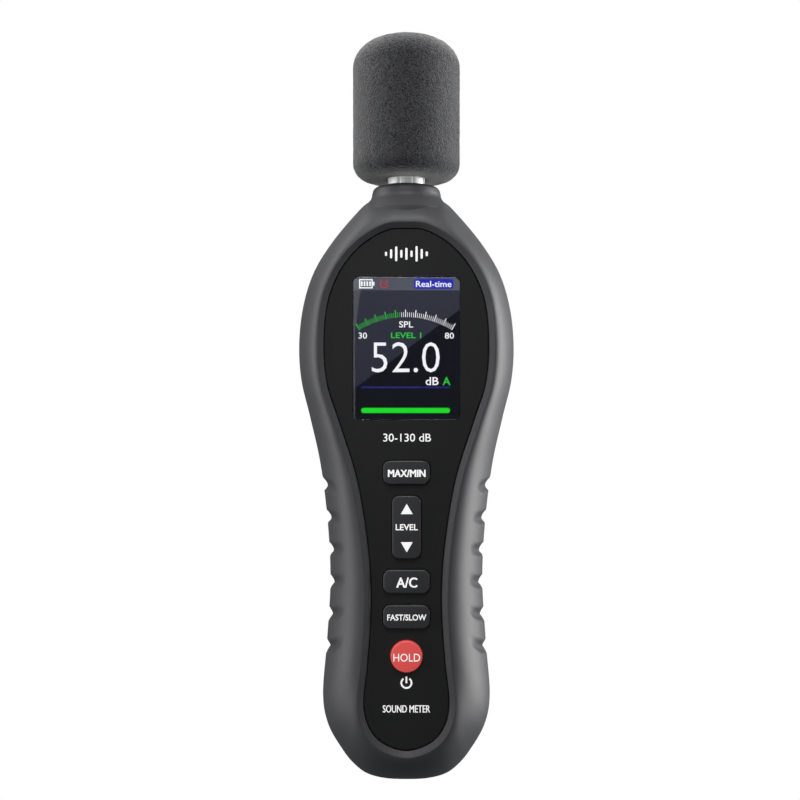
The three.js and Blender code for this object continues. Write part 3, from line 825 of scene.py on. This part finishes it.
def patch(markings, width, height, radius, x, y, z, corner=5):
    """Adds a flat printed patch with round corners, its width, height and corners in millimetres."""
    add_body(markings, prism(width * mm, height * mm, radius * mm, x, z, y - PRINT / 2, y + PRINT / 2,
                             corner))


# The white ink glows faintly: a painted light that keeps the printing bright.
white_ink_painted_glow, shader, place = new_finish("white_ink_painted_glow", Emission_Color=colour_of(255, 255, 255),
                                      Emission_Strength=0.45)
dots = place.speckle(6000, 2)
dots.tint((226, 226, 224), (245, 245, 243)).feed(shader, "Base Color")
(0.5 + dots * 0.2).feed(shader, "Roughness")

plate_front = plate_low.y - PRINT / 2
plate_print = bmesh.new()
WAVE_BARS = [1.2, 2.6, 4.2, 2.2, 3.4, 1.8, 4.4, 2.8, 1.4]
for count, tall in enumerate(WAVE_BARS):
    patch(plate_print, 0.62, tall, 0.3, (count - 4) * 1.45 * mm, plate_front, 153.9 * mm)
write(plate_print, "30-130 dB", 13.6 * mm, 2.3 * mm, 0.2 * mm, plate_front, 101.6 * mm, 0.004)
write(plate_print, "SOUND METER", 13.4 * mm, 2.1 * mm, 0, plate_front, 24.4 * mm, 0, 0.09 * mm)
POWER_Z = 31.8 * mm
arc_stroke(plate_print, 1.45 * mm, 0.5 * mm, 125, 415, 0, plate_front, POWER_Z)
patch(plate_print, 0.5, 1.9, 0.1, 0, plate_front, POWER_Z + 0.85 * mm)
make_piece("plate_markings", plate_print, white_ink_painted_glow, "case", "face_plate")

# ---- display window ----
# Clear hard-coated acrylic, glued level with the face plate, with a polished edge.

window_glass, shader, place = new_finish("window_acrylic", Roughness=0.03, IOR=1.45,
                                         Specular_IOR_Level=0.3, Transmission_Weight=1)
smear = place.speckle(90, 2)
smear.tint((236, 240, 246), (250, 252, 255)).feed(shader, "Base Color")

glass = prism(screen_width, screen_height, SCREEN_CORNER, screen_x, screen_z, window_low.y,
              window_high.y, 10)
glass_front = window_low.y + 0.01 * mm
front_edges = [edge for edge in glass.edges if all(vert.co.y < glass_front for vert in edge.verts)]
bmesh.ops.bevel(glass, geom=front_edges, affect="EDGES", offset=0.28 * mm, segments=2, profile=0.5,
                material=-1)
make_piece("window_cover", glass, window_glass, "case", "window", "display_window")

# ---- colour display ----
# A lit liquid-crystal panel: a slate status strip over a dark blue field that carries a painted glare, a
# painted reflection lighter above a slanting line, and the figures drawn in white, green, blue and red
# light.

panel_low, panel_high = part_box("display_panel")
PANEL_MARGIN = 0.2 * mm
STATUS_LOW = 16.6 * mm            # foot of the status strip above the middle of the screen
# Slope and height of the lower edge of the painted glare, a painted reflection on the screen.
PAINTED_GLARE_SLOPE = 0.7525
PAINTED_GLARE_RISE = -0.25 * mm

panel_light, shader, place = new_finish("panel_light", Base_Color=(0.001, 0.001, 0.001, 1), Roughness=0.5,
                                        Specular_IOR_Level=0, Emission_Strength=1)
across = place.axis("X")
height = place.axis("Z") - screen_z
# Painted glare: the screen is painted lighter above a slanting line, a painted reflection.
painted_glare_mask = (height - across * PAINTED_GLARE_SLOPE) > PAINTED_GLARE_RISE
# Both the painted glare and the field under it are darker towards the bottom.
fall = (height + 0.02) * 25
# upper is the colour of the painted glare.
upper = fall.tint((38, 40, 52), (53, 55, 67))
lower = fall.tint((5, 8, 18), (7, 11, 23))
field_and_painted_glare = painted_glare_mask.blend(lower, upper)
slate = (across * 20 + 0.5).tint((80, 84, 93), (97, 101, 110))
strip = (height > STATUS_LOW).blend(field_and_painted_glare, slate)
grain = place.speckle(9000, 1)
(grain * 0.12).blend(strip, colour_of(0, 0, 0)).feed(shader, "Emission Color")

panel = prism(screen_width - 3 * PANEL_MARGIN, screen_height - 3 * PANEL_MARGIN,
              SCREEN_CORNER - PANEL_MARGIN, screen_x, screen_z, panel_low.y, panel_high.y)
make_piece("lit_panel", panel, panel_light, "case", "screen", "display_panel")


def figure(markings, width, height, radius, x, z, corner=5):
    """Adds a patch to the display, all in millimetres, from the middle of the screen."""
    patch(markings, width, height, radius, screen_x + x * mm, FIGURES, screen_z + z * mm, corner)


def lit(name, colour, strength=1):
    """A finish that glows like a bright figure on the panel, with a faint grain."""
    finish, shader, place = new_finish(name, Base_Color=(0, 0, 0, 1), Roughness=0.4,
                                       Emission_Strength=strength)
    colour = colour_of(*colour)
    place.speckle(9000, 1).blend(shade_of(colour, 0.92), colour).feed(shader, "Emission Color")
    return finish


FIGURES = panel_low.y - PRINT
white_figures = bmesh.new()
green_figures = bmesh.new()
blue_figures = bmesh.new()
red_figures = bmesh.new()

DIVISIONS = 50
READING = 22                      # 52 on a scale from 30 to 80
ARC_RADIUS = 25.1 * mm
ARC_HALF = 31.3
ARC_Z = screen_z - 16.1 * mm
for division in range(DIVISIONS + 1):
    major = division % 5 == 0
    long = 2.1 * mm if major else 1.35 * mm
    stroke = 0.24 * mm if major else 0.15 * mm
    tick = prism(stroke, long, 0.03 * mm, 0, ARC_RADIUS + long / 2, FIGURES - PRINT / 2,
                 FIGURES + PRINT / 2, 1)
    lean = ARC_HALF * (2 * division / DIVISIONS - 1)
    moved(swung(tick, lean, "Y"), screen_x - 0.25 * mm, 0, ARC_Z)
    add_body(green_figures if division <= READING else white_figures, tick)

lettering = [
    (white_figures, "SPL", 4.0, 1.8, -0.1, 6.9, 0.012),
    (white_figures, "30", 2.4, 1.75, -12.4, 3.7, 0.01),
    (white_figures, "80", 2.6, 1.75, 12.2, 3.7, 0.01),
    (white_figures, "52.0", 19.3, 8.6, -0.2, -2.46, -0.008),
    (white_figures, "dB", 3.7, 2.3, 7.3, -9.24, 0.012),
    (green_figures, "LEVEL 1", 8.6, 1.6, -0.1, 3.78, 0.012),
    (green_figures, "A", 2.25, 2.3, 11.4, -9.24, 0.012),
]
for mesh, text, width, tall, x, z, weight in lettering:
    write(mesh, text, width * mm, tall * mm, screen_x + x * mm, FIGURES, screen_z + z * mm, weight)
figure(blue_figures, 11.2, 2.75, 0.7, 7.74, 18.4)
write(white_figures, "Real-time", 10.1 * mm, 1.75 * mm, screen_x + 7.74 * mm, FIGURES - 2 * PRINT,
      screen_z + 18.4 * mm, 0.012)
STATUS_Z = 18.45                  # the symbols of the status strip, in millimetres from the middle
BATTERY_X = -11.5
CLOCK_X = -6.38
for x, z, width, tall in [(0, 1.15, 3.9, 0.36), (0, -1.15, 3.9, 0.36), (-1.77, 0, 0.36, 1.98),
                          (1.77, 0, 0.36, 1.98), (2.2, 0, 0.46, 1.1)]:
    figure(white_figures, width, tall, 0.08, BATTERY_X + x, STATUS_Z + z, 2)
for count in range(4):
    figure(white_figures, 0.5, 1.35, 0.05, BATTERY_X + (count - 1.5) * 0.78, STATUS_Z, 2)
arc_stroke(red_figures, 1.0 * mm, 0.3 * mm, 115, 425, screen_x + CLOCK_X * mm, FIGURES,
           screen_z + (STATUS_Z - 0.15) * mm, 30)
figure(red_figures, 0.28, 0.8, 0.08, CLOCK_X, STATUS_Z + 0.15, 2)
figure(red_figures, 0.6, 0.28, 0.08, CLOCK_X + 0.25, STATUS_Z - 0.2, 2)
for side in (-1, 1):
    figure(red_figures, 0.4, 0.4, 0.15, CLOCK_X + side * 0.95, STATUS_Z + 0.95, 3)

base_line = bmesh.new()
figure(base_line, 25.3, 0.6, 0.1, -0.26, -11.04)
level_bar = bmesh.new()
figure(level_bar, 25.3, 1.46, 0.72, -0.23, -17.6)
for name, figures, light, colour, strength in [
        ("white_figures", white_figures, "white_light", (252, 252, 252), 1.1),
        ("green_figures", green_figures, "green_light", (40, 210, 60), 1),
        ("blue_figures", blue_figures, "blue_light", (36, 38, 184), 1),
        ("red_figures", red_figures, "red_light", (196, 56, 66), 1),
        ("base_line", base_line, "dim_blue_light", (20, 20, 100), 1),
        ("level_bar", level_bar, "bright_green_light", (8, 232, 24), 1)]:
    make_piece(name, figures, lit(light, colour, strength), "case", "screen")

# ---- keys ----
# Four charcoal keys and the round red one, moulded in hard plastic with rounded edges. Each has a flange
# that keeps it behind the plate, a stem for each of its switches, and its legend printed on top.

key_plastic = moulded("key_plastic", (50, 50, 52), 0.42, 3200, 0.004 * mm, 0.1)
# The red key glows in its own colour: a painted light that keeps it bright.
red_plastic_painted_glow = moulded("red_plastic_painted_glow", (226, 84, 80), 0.4, 3200, 0.004 * mm, 0.04, painted_glow=0.28)
KEY_GAP = 0.2 * mm
KEY_ROUND = 0.42 * mm
LEVEL_REACH = 5.6 * mm


def key_body(name):
    """The key's cap with its round edge, its flange and its stems as one body."""
    low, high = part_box(name)
    middle = (low + high) / 2
    flange_front = FLOOR_BACK + (0.6 * mm if name == "key_level" else 0.3 * mm)
    cap = key_hole(name, -KEY_GAP, low.y, flange_front + 0.2 * mm)
    rim = [edge for edge in cap.edges if all(vert.co.y < low.y + 0.01 * mm for vert in edge.verts)]
    rim = [edge for edge in rim if len({face for face in edge.link_faces if abs(face.normal.y) < 0.5}) == 1]
    bmesh.ops.bevel(cap, geom=rim, affect="EDGES", offset=KEY_ROUND, segments=5, profile=0.5, material=-1)
    extras = []
    stems = [-LEVEL_REACH, LEVEL_REACH] if name == "key_level" else [0]
    for stem in stems:
        extras.append(rod(2 * mm, flange_front + 0.4 * mm, high.y, middle.x, middle.z + stem, 24))
    flange = (prism(high.x - low.x, high.z - low.z, KEY_CORNERS[name] + 0.5 * mm, middle.x, middle.z,
                    flange_front, flange_front + 0.8 * mm) if name in KEY_CORNERS
              else rod((high.x - low.x) / 2, flange_front, flange_front + 0.8 * mm, middle.x, middle.z, 64))
    return combine(combine(cap, "UNION", flange), "UNION", *extras)


for name in key_names:
    finish = red_plastic_painted_glow if name == "key_hold" else key_plastic
    slot = "key_red" if name == "key_hold" else "key"
    make_piece(name.replace("key_", "cap_"), key_body(name), finish, name, slot, name)

ARROW = 1.95 * mm
legends = {
    "key_max_min": ("MAX/MIN", 10.5, 2.1, 91.5, 0, 0.2),
    "key_weighting": ("A/C", 5.9, 2.9, 60.5, 0.012, 0.1),
    "key_response": ("FAST/SLOW", 11.1, 1.75, 50.6, 0.02, 0),
    "key_hold": ("HOLD", 7.6, 2.25, 39.2, 0, 0),
    "key_level": ("LEVEL", 6.3, 1.75, 76.2, 0.02, 0),
}
for name, (text, width, tall, z, weight, double) in legends.items():
    low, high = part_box(name)
    print_front = low.y - PRINT / 2
    legend = bmesh.new()
    write(legend, text, width * mm, tall * mm, 0.1 * mm, print_front, z * mm, weight, double * mm)
    if name == "key_level":
        for side, middle in ((1, 81.4), (-1, 70.5)):
            arrow = bmesh.new()
            bmesh.ops.create_cone(arrow, cap_ends=True, segments=3, radius1=ARROW, radius2=ARROW,
                                  depth=PRINT)
            tip = max(swung(arrow, 90, "X").verts, key=lambda vert: vert.co.length)
            swung(arrow, -math.degrees(math.atan2(tip.co.x, tip.co.z)), "Y")
            if side < 0:
                swung(arrow, 180, "Y")
            moved(arrow, 0.1 * mm, print_front, (middle - side * 0.5) * mm)
            add_body(legend, arrow)
    make_piece(name.replace("key_", "legend_"), legend, white_ink_painted_glow, name, "key")

# ---- microphone neck ----
# The metal tube of the microphone, bright partly from its pale metal and partly from a painted glow, fluted
# where it stands out of the collar, in a rubber ring.

tube_low, tube_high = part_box("mic_tube")
TUBE_RADIUS = 5.5 * mm
# The tube glows faintly in white: a painted light standing in for the bright reflections of the metal.
neck_steel_painted_glow, shader, place = new_finish("neck_steel_painted_glow", Metallic=0.85, Emission_Strength=0.16,
                                       Emission_Color=(1, 1, 1, 1))
drawn = place.node("Mapping", {}, {"Vector": place, "Scale": (1, 1, 0.06)}).speckle(4000, 3)
drawn.tint((205, 206, 207), (240, 240, 240)).feed(shader, "Base Color")
(0.4 + drawn * 0.12).feed(shader, "Roughness")
drawn.emboss(shader, 0.003 * mm)

TUBE_BORE = 5 * mm
FLANGE_RADIUS = (tube_high.x - tube_low.x) / 2
neck = turned([
    (TUBE_BORE, tube_low.z), (TUBE_RADIUS, tube_low.z), (TUBE_RADIUS, 167.6 * mm),
    (FLANGE_RADIUS, 167.6 * mm), (FLANGE_RADIUS, 169.4 * mm), (TUBE_RADIUS, 169.4 * mm),
    (TUBE_RADIUS, tube_high.z - 0.2 * mm), (TUBE_RADIUS - 0.2 * mm, tube_high.z),
    (TUBE_BORE, tube_high.z)], 96)
flutes = []
for count in range(8):
    turn = math.radians(22.5 + 45 * count)
    reach = TUBE_RADIUS + 0.28 * mm
    flutes.append(turned(in_mm([(0, 172), (0.62, 172), (0.62, 181), (0, 181)]), 20,
                         (reach * math.cos(turn), reach * math.sin(turn), 0)))
neck = cut(neck, *flutes)
make_piece("neck_tube", neck, neck_steel_painted_glow, "case", "steel", "mic_tube")

soft_rubber = moulded("soft_rubber", (22, 22, 22), 0.75, 2200, 0.01 * mm, 0.15)
grommet_low, grommet_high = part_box("mic_grommet")
grommet_outer = (grommet_high.x - grommet_low.x) / 2
grommet = turned([
    (TUBE_RADIUS + 0.05 * mm, grommet_low.z), (grommet_outer, grommet_low.z),
    (grommet_outer, grommet_high.z - 0.5 * mm),
    (grommet_outer - 0.2 * mm, grommet_high.z - 0.1 * mm), (grommet_outer - 0.5 * mm, grommet_high.z),
    (TUBE_RADIUS + 0.5 * mm, grommet_high.z), (TUBE_RADIUS + 0.05 * mm, grommet_high.z - 0.4 * mm)], 96)
make_piece("neck_ring", grommet, soft_rubber, "case", "rubber", "mic_grommet")

# ---- windscreen ----
# A push-on cap of fine-pored foam, cut and ground to a cylinder with a domed top and a blind bore.

foam_low, foam_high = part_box("windscreen")
foam_radius = (foam_high.x - foam_low.x) / 2
foam_rubber, shader, place = new_finish("foam_rubber", Roughness=1, Specular_IOR_Level=0.1,
                                        Sheen_Weight=0.6, Sheen_Roughness=0.4)
pores = place.speckle(2600, 2, 0.6)
clumps = place.speckle(500, 2)
grains = (pores * 0.85 + clumps * 0.15 - 0.32) * 2.9
grains.tint((7, 7, 8), (80, 80, 82)).feed(shader, "Base Color")
grains.emboss(shader, 0.3 * mm, 0.8)

BORE = 5.75 * mm
BORE_TOP = 208.6 * mm
MOUTH_ROUND = 1.2 * mm            # at the mouth of the bore
LOW_ROUND = 4.9 * mm
TOP_ACROSS = 11.2 * mm
TOP_RISE = 8.6 * mm
profile = [(0, BORE_TOP), (BORE, BORE_TOP)]
profile += [(BORE, BORE_TOP - step * (BORE_TOP - foam_low.z - MOUTH_ROUND) / 60) for step in range(1, 61)]
profile += rounded((BORE + MOUTH_ROUND, foam_low.z + MOUTH_ROUND), -MOUTH_ROUND, -MOUTH_ROUND, 15, 91, 15)
flat_from = profile[-1][0]
flat_to = foam_radius - LOW_ROUND
profile += [(flat_from + (flat_to - flat_from) * step / 8, foam_low.z) for step in range(1, 9)]
side_low = foam_low.z + LOW_ROUND
profile += rounded((flat_to, side_low), LOW_ROUND, LOW_ROUND, -85, 1, 5)
side_high = foam_high.z - TOP_RISE
profile += [(foam_radius, side_low + (side_high - side_low) * step / 70) for step in range(1, 71)]
crown = foam_radius - TOP_ACROSS
profile += rounded((crown, side_high), TOP_ACROSS, TOP_RISE, 3, 91, 3)
profile += [(crown * (1 - step / 10), foam_high.z) for step in range(1, 10)]
profile.append((0, foam_high.z))
foam = turned(profile, 220)
foam.normal_update()
for vert in foam.verts:
    lumps = noise.noise(vert.co * 900) * 0.07 * mm + noise.noise(vert.co * 260) * 0.05 * mm
    vert.co += vert.normal * (lumps - 0.03 * mm)
foam_cap = make_piece("foam_cap", foam, foam_rubber, "windscreen", "foam", "windscreen", sharp=80)

# ---- cells and their contacts ----
# Three AAA cells side by side, the middle one turned over, with a shrunk printed sleeve that leaves the
# metal ends bare, between coil springs and nickelled contact strips.

tin_plate = bare_metal("tin_plate", 1200, 3, (160, 160, 156), (206, 206, 200), 0.28, 0.2)


def sleeve(name, low, high, upside_down):
    """The cell's printed sleeve: a dark body, a coloured shoulder and bare metal at both ends."""
    finish, shader, place = new_finish(name)
    along = (place.axis("Z") - low) * (1 / (high - low))
    if upside_down:
        along = 1 - along
    print_grain = place.speckle(1500, 2)
    dark = print_grain.tint((30, 34, 38), (42, 46, 50))
    gold = print_grain.tint((176, 124, 60), (196, 146, 78))
    metal = print_grain.tint((178, 178, 176), (205, 205, 202))
    ends = (along > 0.965) + (0.012 - along > 0)
    ends.blend((along > 0.7).blend(dark, gold), metal).feed(shader, "Base Color")
    (ends * 0.95).feed(shader, "Metallic")
    (0.24 + print_grain * 0.1).feed(shader, "Roughness")
    return finish


CELL_SIDES = 56
for count, (low, high) in enumerate(cell_boxes, 1):
    flipped = count == 2
    length = high.z - low.z
    radius = (high.x - low.x) / 2
    profile = [(0, 0), (radius - 0.8 * mm, 0), (radius - 0.5 * mm, 0.25 * mm),
               (radius - 0.15 * mm, 0.3 * mm), (radius, 0.6 * mm), (radius, length - 1.5 * mm),
               (radius - 0.2 * mm, length - 1.25 * mm), (radius - 0.8 * mm, length - 1.15 * mm),
               (radius - 1.2 * mm, length - 0.95 * mm), (1.95 * mm, length - 0.9 * mm),
               (1.9 * mm, length - 0.2 * mm), (1.7 * mm, length), (0, length)]
    if flipped:
        profile = [(reach, length - tall) for reach, tall in profile]
    middle = (low + high) / 2
    cell = turned(profile, CELL_SIDES, (middle.x, middle.y, low.z))
    printed = sleeve(f"cell_sleeve_{count}", low.z, high.z, flipped)
    make_piece(f"cell_{count}", cell, printed, "case", "cell", f"battery_cell_{count}")

WIRE = 0.3 * mm
cell_middle = sum(cell_boxes[0], Vector()) / 2
for count in range(1, 4):
    low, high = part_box(f"battery_spring_{count}")
    middle = (low + high) / 2
    coil = bpy.data.curves.new("coil", "CURVE")
    coil.dimensions = "3D"
    coil.bevel_depth = WIRE
    coil.bevel_resolution = 3
    coil.use_fill_caps = True
    wire = coil.splines.new("POLY")
    turns = 3
    steps = turns * 28
    wire.points.add(steps)
    rise = high.z - low.z - 2 * WIRE
    for step, point in enumerate(wire.points):
        share = step / steps
        turn = 2 * math.pi * turns * share
        reach = 3.4 * mm - 1.2 * mm * share
        point.co = (middle.x + reach * math.cos(turn), cell_middle.y + reach * math.sin(turn),
                    low.z + WIRE + rise * share, 1)
    shape = mesh_of_curve(coil)
    spring = bmesh.new()
    spring.from_mesh(shape)
    bmesh.ops.remove_doubles(spring, verts=spring.verts, dist=0.001 * mm)
    bmesh.ops.recalc_face_normals(spring, faces=spring.faces)
    bpy.data.meshes.remove(shape)
    make_piece(f"coil_{count}", spring, tin_plate, "case", "tin", f"battery_spring_{count}", sharp=60)


def dress(finish, *names):
    """Gives frame nodes that stay as they are their finish."""
    for name in names:
        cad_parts[name].material_slots[0].material = finish


dress(tin_plate, "contact_negative", "contact_lower_bridge", "contact_upper_bridge", "contact_positive",
      "display_frame", "mic_capsule")
dress(moulded("black_sleeving", (20, 20, 21), 0.4, 2000), "lead_negative", "mic_lead")
dress(moulded("red_sleeving", (150, 22, 20), 0.4, 2000), "lead_positive")

# ---- electronics ----
# A green glass-fibre board held to the front half by four screws, with the processor, the buzzer and
# a tact switch behind each key; the display sits in a tray on a foam frame.

board_resin, shader, place = new_finish("board_resin", Coat_Weight=0.3)
upright = place.node("Mapping", {}, {"Vector": place, "Rotation": (math.radians(90), 0, 0)})
tracks = place.node("TexBrick", {"offset": 0.37, "squash": 0.6},
                    {"Vector": upright, "Scale": 260, "Mortar Size": 0.06, "Brick Width": 0.9,
                     "Row Height": 0.35}, "Fac")
weave = place.speckle(1800, 2)
resin = weave.tint((16, 68, 42), (26, 88, 56))
tracks.blend(resin, colour_of(70, 132, 84)).feed(shader, "Base Color")
(0.32 + weave * 0.15).feed(shader, "Roughness")
tracks.emboss(shader, 0.03 * mm)
dress(board_resin, "main_board")
part_plastic = moulded("part_plastic", (24, 24, 25), 0.5, 1800, 0.01 * mm)
dress(part_plastic, "processor_chip", "buzzer", "switch_max_min", "switch_level_up", "switch_level_down",
      "switch_weighting", "switch_response", "switch_hold")
dress(soft_rubber, "display_gasket")
dress(screw_steel, "mic_grille", *[f"board_screw_{i}" for i in range(1, 5)])
